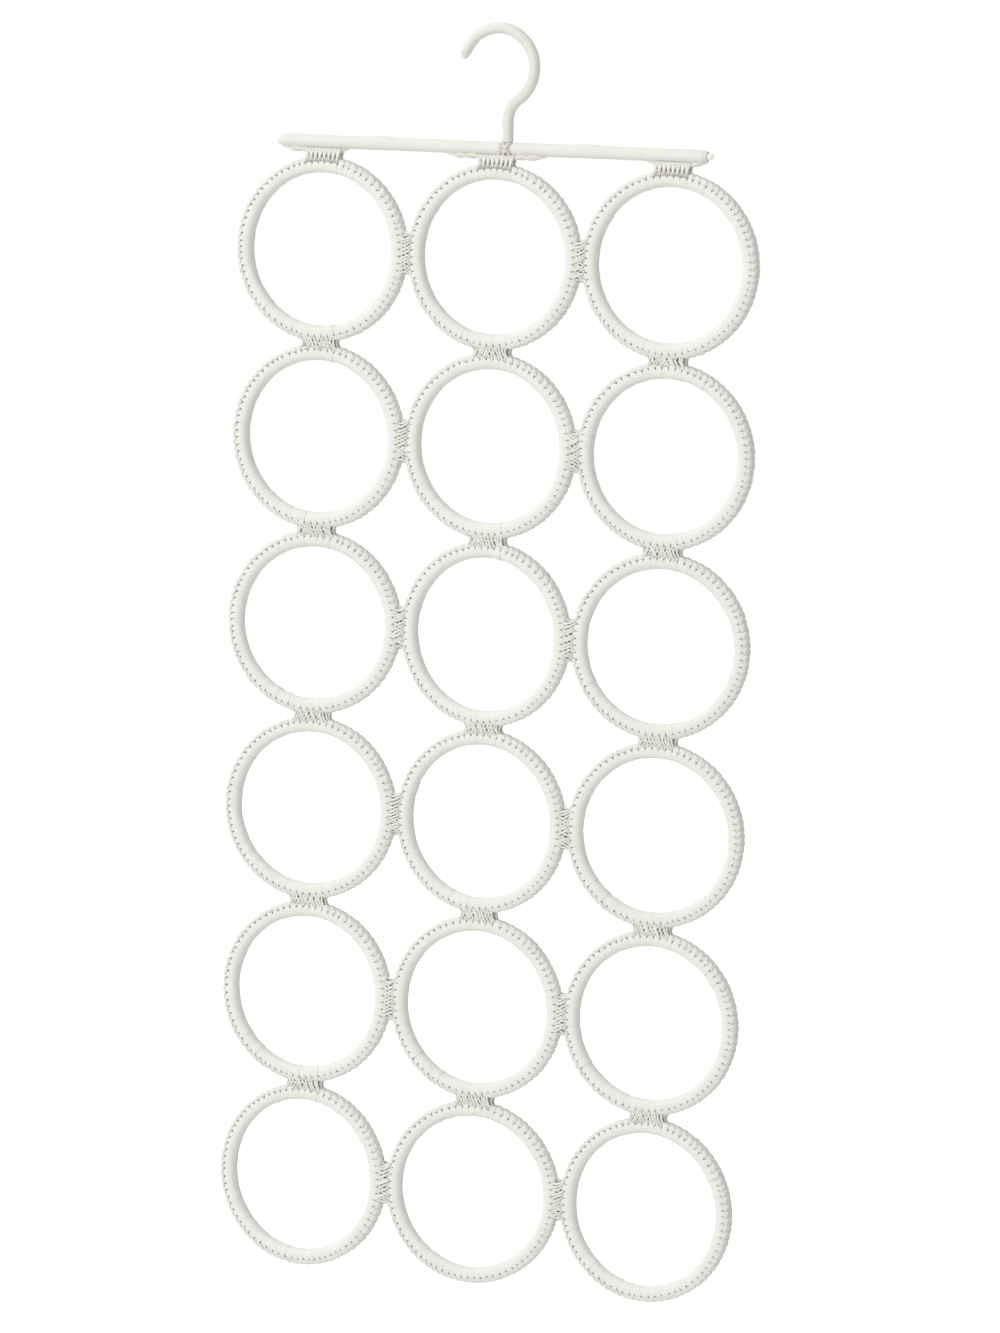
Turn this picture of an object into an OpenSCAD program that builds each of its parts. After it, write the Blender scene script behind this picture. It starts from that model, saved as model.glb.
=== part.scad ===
// Scarf hanger: a yarn-wrapped hook and bar, with rows of crocheted rings that hang below it.
// The origin is the hook's seat, the inside of its top, where it rests on a rail.
// X runs along the bar, Z is up and the front faces -Y. All sizes are in millimetres.

/* [Rings] */
// Rings side by side in a row
cols = 3; // [2:1:3]
// Rows of rings, one below the other
rows = 6; // [2:1:6]
// Clear hole of a ring, which the scarf goes through
hole_d = 81.6; // [70:0.1:90]
// Thickness of a ring's yarn cover, a round section
cover_d = 7.8; // [7.6:0.1:9]
// Thickness of the plastic core inside the cover
core_d = 4.4; // [3:0.1:4.6]
// Thickness of the chain ridge round the outside of a cover
ridge_d = 3.2; // [2:0.1:4]
// How far the chain ridge stands out past the round section
ridge_h = 1.4; // [0.8:0.1:2]
// Gap between the chain ridges of two neighbouring rings
ring_gap = 0; // [0:0.1:2]
// Turn of the rings about their upright lines in each row, in degrees, left and right in turn
row_twist = [0, 1, 3, 2, 0, -2]; // [-3:1:3]

/* [Ties] */
// Bands of yarn in one tie
tie_bands = 5; // [3:1:5]
// Distance from one band of a tie to the next
tie_pitch = 3.1; // [2.8:0.1:3.2]
// Slit between two bands
tie_slit = 0.4; // [0.2:0.1:0.8]
// Thickness of the yarn in a band
band_t = 0.8; // [0.5:0.1:1]
// Width of the twisted yarn between the two tubes that a tie joins
waist_w = 4.4; // [2:0.1:5]
// Thickness to which a cover is drawn in where a tie goes round it
seat_d = 6; // [5.6:0.1:6.4]
// Play of a band on what it goes round
tie_play = 0.15; // [0.1:0.05:0.3]

/* [Bar] */
// Length of the bar, from its closed left end to the tip of its rod
bar_len = 250.5; // [240:0.5:270]
// How far the bar's middle lies left of the rings' middle
bar_shift = 2.5; // [-4:0.5:4]
// Thickness of the steel rod inside the bar
rod_d = 3.8; // [3:0.1:4.4]
// Thickness of the bar's yarn wrap
wrap_d = 6.8; // [6.2:0.1:7.2]
// How far the bar's rod shows past its wrap
rod_show = 3.4; // [2:0.1:6]
// Extra radius where the wrap swells
swell_h = 0.3; // [0:0.05:0.5]
// Half length of a swelling
swell_l = 12; // [6:1:20]
// Gap between the wrap's two halves, at the hook's stem
wrap_gap = 6.4; // [6.2:0.1:8]
// Distance from the bar's middle line down to the top of the first row's core rings
bar_drop = 12.6; // [12.4:0.1:16]

/* [Anchor cords] */
// Thickness of the cords sewn under the bar, which the first row hangs from
cord_d = 2.4; // [2:0.1:2.6]
// Reach of the outer cords towards the ends of the bar
cord_out = 20; // [16:0.5:22]
// Reach of the outer cords towards the middle of the bar
cord_in = 16; // [16:0.5:24]
// Reach of the middle cord to either side
cord_mid = 30; // [16:0.5:34]

/* [Hook] */
// Clear width of the hook's bend, which goes over the rail
hook_in_d = 35; // [28:0.5:42]
// Thickness of the hook's yarn wrap
hook_d = 5.8; // [5:0.1:6]
// Thickness of the steel wire inside the hook
wire_d = 3.4; // [2.4:0.1:3.6]
// Angle at which the hook's wire ends, from the right over the top
tip_angle = 163; // [120:1:180]
// Radius of the bend between the hook's round and its stem
neck_r = 14; // [8:0.5:20]
// How far the stem stands to the right of the seat
stem_x = 5.9; // [3:0.1:8]
// Height of the seat above the bar's middle line
hook_h = 60.2; // [54:0.1:80]
// Thickness of the yarn that lashes the stem to the bar
lash_d = 1; // [0.8:0.1:1]
// Slope of the two crossed loops of that lashing, in degrees
lash_slope = 45; // [44:1:46]

/* [Hidden] */
$fn = 64;
fit = 0.1;          // between a core and its cover, or a rod and its wrap
clear = 0.5;        // between a tie's bands and the thick part of a cover
bead = 0.08;        // extra thickness of the hook's wire and wrap at a bend's end
bead_l = 1;         // length of that bead
yarn = "#ecebe2";
tie_yarn = "#e4e3d8";
steel = "#f2f2ee";
plastic = "#dcdcd6";

ring_r = (hole_d + cover_d) / 2;
pitch = 2 * (ring_r + cover_d / 2 + ridge_h) + ring_gap;
ridge_r = ring_r + cover_d / 2 + ridge_h - ridge_d / 2;
bar_z = -hook_h;
function col_x(c) = (c - (cols + 1) / 2) * pitch;
function row_z(r) = bar_z - bar_drop - ring_r - (r - 1) * pitch;
function twist(r, c) = row_twist[r - 1] * (c % 2 == 0 ? -1 : 1);

// A band at x goes round a ring's tube, which curves and turns away from the tie's own line
band_w = tie_pitch - tie_slit;
function band_x(i) = (i - (tie_bands - 1) / 2) * tie_pitch;
function stray(x) =
    let (end = abs(x) + band_w / 2, sag = ring_r - sqrt(ring_r ^ 2 - end ^ 2))
    norm([sag, end * sin(max([for (t = row_twist) abs(t)]))]);
function band_r(x) = seat_d / 2 + stray(x) + tie_play;
tie_half = band_x(tie_bands - 1) + band_w / 2;
tie_out = band_r(band_x(tie_bands - 1)) + band_t;
seat_angle = asin((tie_half + tie_out * sin(max(row_twist)) + clear) / (ring_r - tie_out));

// The bands on a cord pass below the lashing, and the cord's ends are sewn up to the wrap
cord_band_r = cord_d / 2 + tie_play + band_t;
cord_z = bar_z - rod_d / 2 - fit - lash_d - tie_play - cord_band_r;
stitch_d = cord_d - 0.4;
bar_left = -bar_shift - bar_len / 2;
bar_right = -bar_shift + bar_len / 2;

hook_r = hook_in_d / 2 + hook_d / 2;
hook_z = -hook_in_d / 2;
neck_angle = acos((stem_x + neck_r) / (hook_r + neck_r));
neck_x = stem_x + neck_r;
neck_z = hook_z - (hook_r + neck_r) * sin(neck_angle);

// A round tube bent in the XZ plane, from one angle to another
module bent_tube(bend_r, from, to, d)
    rotate([90, 0, 0]) rotate([0, 0, from])
        rotate_extrude(angle = to - from) translate([bend_r, 0]) circle(d = d);

// The hook's route: round from the tip over the seat, back through the neck and down the stem.
// A thin bead goes round each place where one bend passes into the next.
module hook_route(d, bottom) {
    translate([0, 0, hook_z]) bent_tube(hook_r, -neck_angle, tip_angle, d);
    translate([neck_x, 0, neck_z]) bent_tube(neck_r, 180 - neck_angle, 180, d);
    translate([stem_x, 0, bottom]) cylinder(d = d, h = neck_z - bottom);
    translate([hook_r * cos(neck_angle), 0, hook_z - hook_r * sin(neck_angle)])
        rotate([0, neck_angle, 0]) cylinder(d = d + bead, h = bead_l, center = true);
    translate([stem_x, 0, neck_z]) cylinder(d = d + bead, h = bead_l, center = true);
}

module hook_tip()
    translate([hook_r * cos(tip_angle), 0, hook_z + hook_r * sin(tip_angle)]) children();

// The wire's foot is coped to sit on the bar's rod, where it is welded
module hook_wire() color(steel)
    difference() {
        hook_route(wire_d, bar_z);
        translate([bar_left, 0, bar_z]) rotate([0, 90, 0]) cylinder(d = rod_d, h = bar_len);
    }

module hook_wrap() color(yarn)
    difference() {
        union() {
            hook_route(hook_d, bar_z + wrap_d / 2 + fit);
            hook_tip() sphere(d = hook_d + bead);
        }
        hook_route(wire_d + 2 * fit, bar_z);
    }

// A straight round bar along X, with round ends
module round_bar(from, to, d)
    rotate([0, 90, 0]) rotate_extrude() intersection() {
        union() {
            for (x = [from + d / 2, to - d / 2]) translate([0, x]) circle(d = d);
            translate([0, from + d / 2]) square([d / 2, to - from - d]);
        }
        translate([0, from]) square([d, to - from]);
    }

// The rod starts inside the wrap's closed left end
module bar_rod() color(steel)
    translate([0, 0, bar_z]) round_bar(bar_left + wrap_d / 4, bar_right, rod_d);

// Radius of the bar's wrap at x: two soft swellings, and a round drawn-in end beside a free end
function swelling(x, at) = swell_h * max(0, cos(min(180, abs(x - at) / swell_l * 90))) ^ 2;
function wrap_r(x) = wrap_d / 2 + swelling(x, -0.67 * pitch) + swelling(x, 0.52 * pitch);

// One half of the wrap: a closed, round left end or a plain cut, and a shoulder at the right.
// Its underside is notched over each anchor cord, where the bands of a tie pass between the two.
module wrap_half(from, to, closed) {
    bore = rod_d / 2 + fit;
    steps = 24;
    nose = wrap_d / 2;
    start = closed ? from + nose : from + nose / 3;
    end = closed ? to : to - nose / 3;
    outer = [for (i = [0:steps]) let (x = start + (end - start) * i / steps) [wrap_r(x), x]];
    left_end = closed ? [for (a = [0:15:75]) [nose * sin(a), from + nose * (1 - cos(a))]]
        : [[bore, from], [wrap_d / 2 * 0.9, from]];
    right_end = closed ? [[bore, to], [bore, from + wrap_d / 4 - fit], [0, from + wrap_d / 4 - fit]]
        : [[wrap_d / 2 * 0.82, to], [bore, to]];
    difference() {
        translate([0, 0, bar_z]) rotate([0, 90, 0]) rotate_extrude()
            polygon(concat(left_end, outer, right_end));
        for (c = [1:cols]) translate([col_x(c) - tie_half - clear, 0, cord_z]) rotate([0, 90, 0])
            cylinder(r = cord_band_r + tie_play, h = 2 * (tie_half + clear));
    }
}

module bar_wrap_left() color(yarn)
    wrap_half(bar_left, stem_x - wrap_gap / 2, true);

module bar_wrap_right() color(yarn)
    wrap_half(stem_x + wrap_gap / 2, bar_right - rod_show, false);

// Two loops round the rod that cross in front and behind, one to each side of the stem
module stem_lashing() color(tie_yarn)
    translate([stem_x, 0, bar_z]) for (slope = [-lash_slope, lash_slope])
        rotate([0, 90 + slope, 0]) rotate_extrude()
            translate([(rod_d / 2 + fit + lash_d / 2) / cos(lash_slope), 0]) circle(d = lash_d);

// A cord that runs below the bar, over a ring of the first row, with a stitch up to the bar at each end
module anchor_cord(c) color(tie_yarn) {
    left = col_x(c) - (c == 1 ? cord_out : c == cols ? cord_in : cord_mid);
    right = col_x(c) + (c == cols ? cord_out : c == 1 ? cord_in : cord_mid);
    translate([0, 0, cord_z]) round_bar(left, right, cord_d);
    for (x = [left + cord_d, right - cord_d])
        translate([x, 0, cord_z]) cylinder(d = stitch_d, h = bar_z - wrap_r(x) - fit / 2 - cord_z);
}

module ring_place(r, c)
    translate([col_x(c), 0, row_z(r)]) rotate([90, 0, twist(r, c)]) children();

module ring_core(r, c) color(plastic)
    ring_place(r, c) rotate_extrude() translate([ring_r, 0]) circle(d = core_d);

// Angles round a ring at which a tie goes round its cover: up, right, down and left
function tie_angles(r, c) = concat(
    [90],
    c < cols ? [0] : [],
    r < rows ? [270] : [],
    c > 1 ? [180] : []
);

// A round yarn tube with a chain ridge outside, drawn in to a thin seat under each tie
module ring_cover(r, c) color(yarn)
    ring_place(r, c) difference() {
        rotate_extrude() difference() {
            union() {
                translate([ring_r, 0]) circle(d = cover_d);
                translate([ridge_r, 0]) circle(d = ridge_d);
            }
            translate([ring_r, 0]) circle(d = core_d + 2 * fit);
        }
        for (a = tie_angles(r, c)) rotate([0, 0, a - seat_angle])
            rotate_extrude(angle = 2 * seat_angle) difference() {
                translate([ring_r - cover_d, -cover_d]) square(2 * cover_d);
                translate([ring_r, 0]) circle(d = seat_d);
            }
    }

// The outline of one band: a loop round an upper tube, a loop round a lower one, and a waist
module band_outline(span, top_r, low_r)
    difference() {
        union() {
            circle(r = top_r + band_t);
            translate([0, -span]) circle(r = low_r + band_t);
            translate([-waist_w / 2, -span]) square([waist_w, span]);
        }
        circle(r = top_r);
        translate([0, -span]) circle(r = low_r);
    }

// A tie: bands side by side along X, from a tube at the origin to a tube at a span below it
module tie(span, on_cord = false)
    for (i = [0:tie_bands - 1])
        translate([band_x(i) - band_w / 2, 0, 0]) rotate([90, 0, 90]) linear_extrude(band_w)
            band_outline(span, on_cord ? cord_band_r - band_t : band_r(band_x(i)), band_r(band_x(i)));

// The ties of a row go up to the anchor cords or to the row above
module row_ties(r) color(tie_yarn)
    for (c = [1:cols]) {
        low_z = row_z(r) + ring_r;
        top_z = r == 1 ? cord_z : row_z(r - 1) - ring_r;
        translate([col_x(c), 0, top_z]) tie(top_z - low_z, r == 1);
    }

// The side ties of a row join each ring to the next one on its right
module side_ties(r) color(tie_yarn)
    for (c = [1:cols - 1]) {
        turn = twist(r, c);
        span = pitch - 2 * ring_r * cos(turn);
        translate([col_x(c + 1) - ring_r * cos(turn), ring_r * sin(turn), row_z(r)])
            rotate([0, 90, 0]) tie(span);
    }

hook_wire();
hook_wrap();
bar_rod();
bar_wrap_left();
bar_wrap_right();
stem_lashing();
for (c = [1:cols])
    anchor_cord(c);
for (r = [1:rows], c = [1:cols])
    ring_core(r, c);
for (r = [1:rows], c = [1:cols])
    ring_cover(r, c);
for (r = [1:rows])
    row_ties(r);
for (r = [1:rows])
    side_ties(r);
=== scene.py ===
"""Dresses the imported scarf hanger: crocheted rings, yarn ties, a wound bar and a wound hook.

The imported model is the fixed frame. Every new piece takes its place from it, rides on one of its
bodies and stands for one of its nodes. Lengths are in metres and angles in radians, unless a name
ends in _deg.
"""
import logging
import math
from dataclasses import dataclass, field
from enum import Enum
from functools import cached_property

import bpy
import numpy as np
from mathutils import Matrix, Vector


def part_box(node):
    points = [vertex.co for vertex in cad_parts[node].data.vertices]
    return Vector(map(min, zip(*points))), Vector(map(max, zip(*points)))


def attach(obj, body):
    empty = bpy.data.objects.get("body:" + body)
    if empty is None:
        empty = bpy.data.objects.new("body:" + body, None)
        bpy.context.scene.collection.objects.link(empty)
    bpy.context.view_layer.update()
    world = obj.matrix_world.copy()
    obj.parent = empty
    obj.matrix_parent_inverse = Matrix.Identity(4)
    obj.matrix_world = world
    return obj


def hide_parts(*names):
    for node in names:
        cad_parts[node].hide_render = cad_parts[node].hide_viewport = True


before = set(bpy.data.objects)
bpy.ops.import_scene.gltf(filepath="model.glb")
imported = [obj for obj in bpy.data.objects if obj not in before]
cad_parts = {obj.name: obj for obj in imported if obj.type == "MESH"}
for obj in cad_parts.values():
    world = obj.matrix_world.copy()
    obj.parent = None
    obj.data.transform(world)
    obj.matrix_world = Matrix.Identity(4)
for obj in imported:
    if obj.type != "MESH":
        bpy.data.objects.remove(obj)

MM = 0.001
LOG = logging.getLogger("scarf_hanger")
COLUMNS = (1, 2, 3)
ROWS = (1, 2, 3, 4, 5, 6)
WHITE = (1.0, 1.0, 1.0, 1.0)
ROUND = np.radians(np.arange(0, 360, 9.0))


class Side(Enum):
    """Where on a ring a tie sits: its angle round the ring, in degrees, from the right over the top."""

    RIGHT = 0
    TOP = 90
    LEFT = 180
    BOTTOM = 270


class Face(Enum):
    """The two faces of the hanger: the sign of a step from the rings' plane."""

    FRONT = 1
    BACK = -1


@dataclass(frozen=True)
class YarnFinish:
    """A spun yarn: a warm white with painted shade in its grooves, fine fibres and a soft sheen.

    Attributes:
        slot: The material slot in the record that it belongs to.
        light: Colour of the yarn's raised parts.
        painted_shade: The painted shade colour, mixed in deep between the strands where shade falls.
        drift: The broad noise's darker tone, as a share of the light colour.
        drift_scale: Scale of the broad noise, in steps a metre.
        fibre_depth: Height of the fibres' relief.
        fibre_length: How much longer a fibre is than wide.
        fibre_scale: Scale of the fibres' noise, in steps a millimetre.
        fibre_strength: Strength of the fibres' bump.
        roughness: Its roughness.
        gloss: Specular level.
    """

    slot: str
    light: tuple[float, float, float]
    painted_shade: tuple[float, float, float]
    drift: float = 0.93
    drift_scale: float = 90.0
    fibre_depth: float = 0.05 * MM
    fibre_length: float = 9.0
    fibre_scale: float = 4.5
    fibre_strength: float = 0.8
    roughness: float = 0.85
    gloss: float = 0.12
    sheen: float = 0.03
    sheen_roughness: float = 0.6

    @cached_property
    def material(self) -> bpy.types.Material:
        """Makes the material.

        The colour goes from the light colour to the painted shade colour by the mesh's own painted shade attribute,
        and drifts a little with a broad noise. The bump is a noise drawn out along the strands by the UV map.

        Returns:
            The material, ready to be put on a piece.
        """
        mat, tree, shader = new_material(f"{self.slot}_look")
        place = add_node(tree, "TexCoord").outputs
        # Painted shade: this attribute darkens the colour towards the painted shade colour.
        depth = add_node(tree, "Attribute")
        depth.attribute_name = "painted_shade"
        drift = noise(tree, place["Object"], self.drift_scale, 3.0)
        tint = colour_mix(tree, drift, self.light, tuple(self.drift * c for c in self.light))
        stretch = add_node(tree, "Mapping", {"Vector": place["UV"], "Scale": (1.0, 1.0 / self.fibre_length, 1.0)})
        fibres = noise(tree, stretch.outputs["Vector"], self.fibre_scale, 4.0)
        fill_inputs(tree, shader, {
            "Base Color": colour_mix(tree, depth.outputs["Fac"], tint, self.painted_shade),
            "Roughness": self.roughness,
            "Specular IOR Level": self.gloss,
            "Sheen Weight": self.sheen,
            "Sheen Roughness": self.sheen_roughness,
            "Normal": bump(tree, fibres, self.fibre_depth, self.fibre_strength),
        })
        return mat


@dataclass(frozen=True)
class HardFinish:
    """Enamel or moulded plastic: an almost even colour with faint mottling and fine ripples.

    Attributes:
        slot: The material slot in the record that it belongs to.
        colour: Its colour.
        roughness: Its mean roughness.
        ripple: Height of the ripples.
        coat: Weight of a clear coat.
        mottle: The mottling's darker tone, as a share of the colour.
        mottle_scale: Scale of the mottling, in steps a metre.
    """

    slot: str
    colour: tuple[float, float, float]
    roughness: float
    ripple: float
    coat: float = 0.0
    mottle: float = 0.94
    mottle_scale: float = 220.0

    @cached_property
    def material(self) -> bpy.types.Material:
        """Makes the material: one noise in colour and roughness, and as a shallow bump."""
        mat, tree, shader = new_material(f"{self.slot}_look")
        mottle = noise(tree, add_node(tree, "TexCoord").outputs["Object"], self.mottle_scale, 4.0)
        rough = add_node(tree, "MapRange", {
            "Value": mottle, "To Min": self.roughness * 0.8, "To Max": self.roughness * 1.2})
        fill_inputs(tree, shader, {
            "Base Color": colour_mix(tree, mottle, self.colour, tuple(self.mottle * c for c in self.colour)),
            "Roughness": rough.outputs["Result"],
            "Coat Weight": self.coat,
            "Normal": bump(tree, mottle, self.ripple, 1.0),
        })
        return mat


# The second colour of each yarn is its painted shade colour, for the grooves and gaps where shade falls.
RING_YARN = YarnFinish("ring_yarn", (0.80, 0.795, 0.755), (0.30, 0.29, 0.25))
TIE_YARN = YarnFinish("tie_yarn", (0.80, 0.793, 0.742), (0.36, 0.34, 0.28))
BAR_YARN = YarnFinish("bar_yarn", (0.775, 0.77, 0.725), (0.36, 0.34, 0.28), fibre_depth=0.03 * MM)
HOOK_YARN = YarnFinish("hook_yarn", (0.76, 0.755, 0.705), (0.34, 0.33, 0.29), fibre_depth=0.03 * MM)
CORD_YARN = YarnFinish("cord_yarn", (0.77, 0.755, 0.68), (0.26, 0.25, 0.20))
ROD_ENAMEL = HardFinish("rod_enamel", (0.88, 0.88, 0.865), 0.22, 0.01 * MM, coat=0.6)
HOOK_STEEL = HardFinish("hook_steel", (0.80, 0.80, 0.78), 0.35, 0.01 * MM, coat=0.2)
RING_PLASTIC = HardFinish("ring_plastic", (0.74, 0.74, 0.71), 0.5, 0.02 * MM)


def new_material(name: str) -> tuple[bpy.types.Material, bpy.types.NodeTree, bpy.types.Node]:
    """Makes a node material.

    Args:
        name: The material's name.

    Returns:
        The material, its node tree and its one shader.
    """
    mat = bpy.data.materials.new(name)
    mat.use_nodes = True
    return mat, mat.node_tree, mat.node_tree.nodes["Principled BSDF"]


def fill_inputs(tree: bpy.types.NodeTree, node: bpy.types.Node, inputs: dict) -> None:
    """Sets or links a node's inputs.

    Args:
        tree: The node's tree.
        node: The node.
        inputs: Values, or sockets to link from, by the input's name or number.
    """
    for key, value in inputs.items():
        if isinstance(value, bpy.types.NodeSocket):
            tree.links.new(value, node.inputs[key])
        else:
            node.inputs[key].default_value = value


def add_node(tree: bpy.types.NodeTree, kind: str, inputs: dict | None = None) -> bpy.types.Node:
    """Adds a node and fills its inputs.

    Args:
        tree: The tree that takes it.
        kind: Its type, without the words that all types begin with.
        inputs: Its inputs, as in fill_inputs.

    Returns:
        The node.
    """
    node = tree.nodes.new(f"ShaderNode{kind}")
    fill_inputs(tree, node, inputs or {})
    return node


def noise(tree: bpy.types.NodeTree, vector: bpy.types.NodeSocket, scale: float,
          detail: float) -> bpy.types.NodeSocket:
    """Adds a noise that reads a vector, and gives its factor."""
    return add_node(tree, "TexNoise", {"Vector": vector, "Scale": scale, "Detail": detail}).outputs["Fac"]


def bump(tree: bpy.types.NodeTree, height: bpy.types.NodeSocket, depth: float,
         strength: float) -> bpy.types.NodeSocket:
    """Adds a bump of a depth from a height, and gives its normal."""
    node = add_node(tree, "Bump", {"Height": height, "Distance": depth, "Strength": strength})
    return node.outputs["Normal"]


def colour_mix(tree: bpy.types.NodeTree, factor: bpy.types.NodeSocket,
               first: bpy.types.NodeSocket | tuple, second: tuple) -> bpy.types.NodeSocket:
    """Mixes two colours.

    Args:
        tree: The tree that takes the node.
        factor: The share of the second colour.
        first: A colour, or the socket that gives one.
        second: The other colour.

    Returns:
        The socket of the mixed colour.
    """
    node = add_node(tree, "Mix")
    node.data_type = "RGBA"
    start = first if isinstance(first, bpy.types.NodeSocket) else (*first, 1.0)
    fill_inputs(tree, node, {"Factor": factor, "A": start, "B": (*second, 1.0)})
    return node.outputs["Result"]


@dataclass
class Surface:
    """A mesh being gathered: points, faces, UVs in millimetres and the painted shade of each point."""

    points: list = field(default_factory=list)
    faces: list = field(default_factory=list)
    corners: list = field(default_factory=list)
    painted_shades: list = field(default_factory=list)
    count: int = 0

    def add(self, points: np.ndarray, faces: list, corners: list, painted_shade: np.ndarray) -> None:
        """Adds one patch.

        Args:
            points: Point places, one row of three each.
            faces: Arrays of point numbers, one array for each number of corners.
            corners: UV arrays that match faces corner by corner.
            painted_shade: For each point, painted shade from 0 on a raised part to 1 deep in a groove.
        """
        self.points.append(points)
        self.faces += [f + self.count for f in faces]
        self.corners += corners
        self.painted_shades.append(np.clip(painted_shade, 0.0, 1.0))
        self.count += len(points)

    def sheet(self, points: np.ndarray, u: np.ndarray, v: np.ndarray, painted_shade: np.ndarray | float,
              closed: bool = True, swap_uv: bool = False) -> None:
        """Adds a grid of points as four-sided faces.

        Args:
            points: Points as an array of rows, columns and three coordinates.
            u: UV value of each row, in millimetres.
            v: UV value of each column, with one more value where the columns close.
            painted_shade: The painted shade of each point, or of all of them.
            closed: Whether the last column joins the first.
            swap_uv: Whether the rows run along the second UV axis.
        """
        rows, cols = points.shape[:2]
        i, j = np.meshgrid(np.arange(rows - 1), np.arange(cols - (not closed)), indexing="ij")
        i, j = i.ravel(), j.ravel()
        turns = ((i, j), (i + 1, j), (i + 1, j + 1), (i, j + 1))
        faces = np.stack([a * cols + b % cols for a, b in turns], axis=1)
        corners = np.stack([np.stack([u[a], v[b]], axis=1) for a, b in turns], axis=1)
        self.add(points.reshape(-1, 3), [faces], [corners[..., ::-1] if swap_uv else corners],
                 np.broadcast_to(painted_shade, (rows, cols)).ravel())

    def cap(self, rim: np.ndarray, ahead: bool, painted_shade: float) -> None:
        """Closes a round end with a fan about its rim's middle.

        Args:
            rim: The end's points.
            ahead: Whether the end faces the way that the rows run.
            painted_shade: Its painted shade.
        """
        number = np.arange(len(rim))
        after = (number + 1) % len(rim)
        order = [number, after] if ahead else [after, number]
        fan = np.stack([*order, np.full(len(rim), len(rim))], axis=1)
        self.add(np.vstack([rim, rim.mean(axis=0)]), [fan], [np.zeros((len(fan), 3, 2))],
                 np.full(len(rim) + 1, painted_shade))

    def piece(self, name: str) -> bpy.types.Object:
        """Puts the gathered patches into one smooth mesh object.

        Args:
            name: The object's name.

        Returns:
            The object, at the origin.
        """
        mesh = bpy.data.meshes.new(name)
        points = np.concatenate(self.points).astype(np.float32)
        sizes = np.concatenate([np.full(len(f), f.shape[1]) for f in self.faces])
        loops = np.concatenate([f.ravel() for f in self.faces]).astype(np.int32)
        uvs = np.concatenate([c.reshape(-1, 2) for c in self.corners]).astype(np.float32)
        mesh.vertices.add(len(points))
        mesh.vertices.foreach_set("co", points.ravel())
        mesh.loops.add(len(loops))
        mesh.loops.foreach_set("vertex_index", loops)
        mesh.polygons.add(len(sizes))
        starts = np.concatenate([[0], np.cumsum(sizes)[:-1]]).astype(np.int32)
        mesh.polygons.foreach_set("loop_start", starts)
        mesh.update(calc_edges=True)
        mesh.polygons.foreach_set("use_smooth", np.ones(len(sizes), dtype=bool))
        mesh.uv_layers.new(name="yarn").data.foreach_set("uv", uvs.ravel())
        # Painted shade for each point, which the yarn materials read to darken their colour.
        painted_shade = mesh.attributes.new("painted_shade", "FLOAT", "POINT")
        painted_shade.data.foreach_set("value", np.concatenate(self.painted_shades).astype(np.float32))
        mesh.validate()
        obj = bpy.data.objects.new(name, mesh)
        bpy.context.scene.collection.objects.link(obj)
        return obj


def dress(surface: Surface, name: str, body: str, finish: YarnFinish, nodes: list[str]) -> None:
    """Finishes a piece and hangs it in the frame.

    Args:
        surface: The gathered mesh.
        name: The piece's name.
        body: The body that it rides on.
        finish: Its finish.
        nodes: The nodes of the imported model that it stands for.
    """
    obj = surface.piece(name)
    obj.data.materials.append(finish.material)
    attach(obj, body)
    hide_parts(*nodes)
    LOG.info("%s rides on %s with %d faces", name, body, len(obj.data.polygons))


def unit(vectors: np.ndarray) -> np.ndarray:
    """Scales each vector to length one."""
    return vectors / np.maximum(np.linalg.norm(vectors, axis=-1, keepdims=True), 1e-12)


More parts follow.
